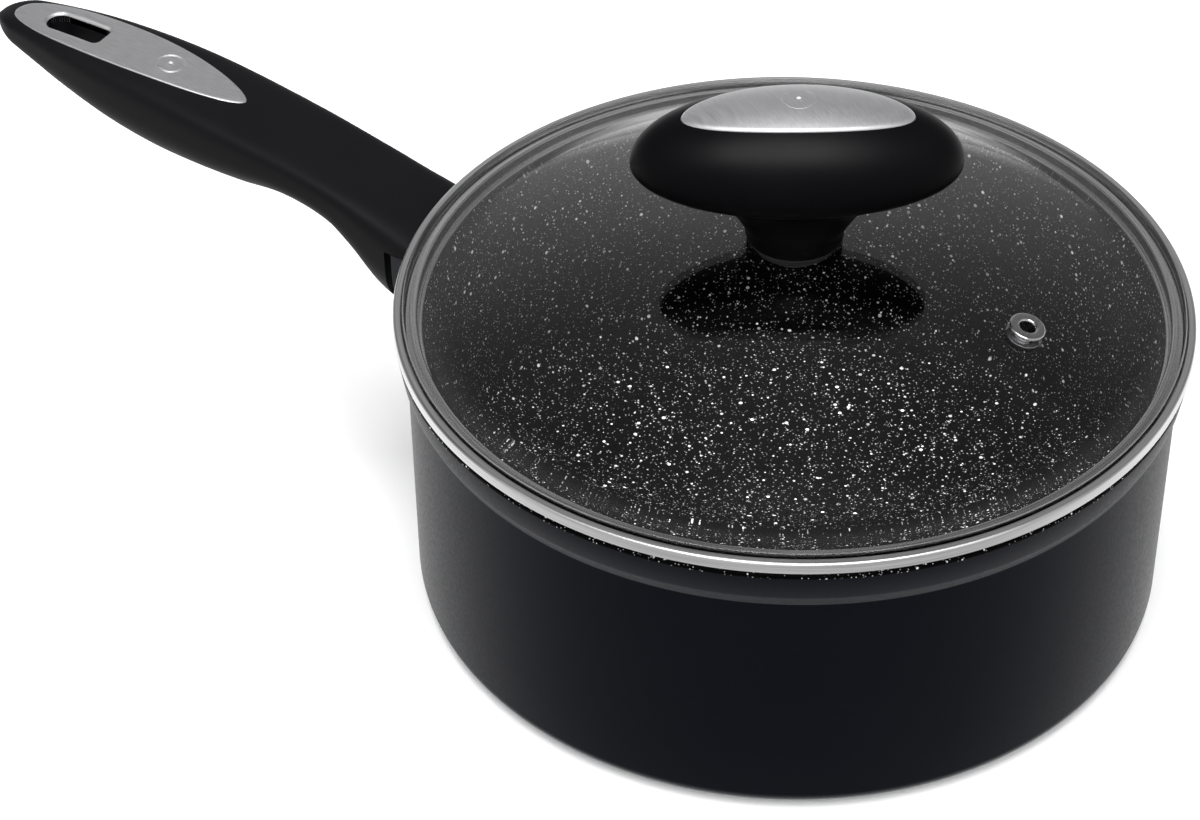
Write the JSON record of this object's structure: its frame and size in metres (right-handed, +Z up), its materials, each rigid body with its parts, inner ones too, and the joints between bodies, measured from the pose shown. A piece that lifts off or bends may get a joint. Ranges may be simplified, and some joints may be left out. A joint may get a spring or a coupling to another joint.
{
  "type": "saucepan with glass lid",
  "caption": "Round saucepan with a long moulded handle, hanging hole and domed glass lid with steel rim, steam vent and oval knob; the lid lifts off.",
  "frame": {"origin": "centre of the pan's base, on the surface it stands on", "axes": "+Z up along the pan's axis, +X from the pan's axis out along the handle"},
  "size_m": [0.3569, 0.205, 0.1449],
  "materials": {
    "pan_forged_aluminium": "charcoal heat-resistant paint outside, stone-effect nonstick coating inside",
    "induction_steel": "brushed",
    "bare_aluminium": "as forged",
    "bracket_steel": "pressed, satin",
    "fastener_steel": "bright",
    "collar_bakelite": "matte",
    "grip_soft_touch": "soft-touch matte",
    "trim_steel": "satin bead-blasted",
    "tempered_glass": "clear polished",
    "rim_steel": "fine circular brushing",
    "eyelet_steel": "bright polished",
    "silicone_clear": "translucent matte",
    "silicone_black": "matte",
    "insert_brass": "machined"
  },
  "bodies": {
    "pan": {"pan_shell": "pan_forged_aluminium", "base_plate": "induction_steel", "wall_boss": "bare_aluminium", "handle_bracket": "bracket_steel", "bracket_screws": "fastener_steel", "handle_collar": "collar_bakelite", "handle_grip": "grip_soft_touch", "handle_inlay": "trim_steel", "handle_screw": "fastener_steel", "handle_washer": "fastener_steel"},
    "lid": {"lid_glass": "tempered_glass", "lid_rim": "rim_steel", "vent_eyelet": "eyelet_steel", "vent_gasket": "silicone_clear", "vent_washer": "eyelet_steel", "knob_grip": "grip_soft_touch", "knob_inlay": "trim_steel", "knob_seat": "silicone_black", "knob_insert": "insert_brass", "knob_gasket": "silicone_black", "knob_washer": "fastener_steel", "knob_screw": "fastener_steel"}
  },
  "joints": [
    {"name": "lid_lift", "type": "slide", "parent": "pan", "child": "lid", "axis": [0, 0, 1], "range_m": [0, 0.12]}
  ]
}
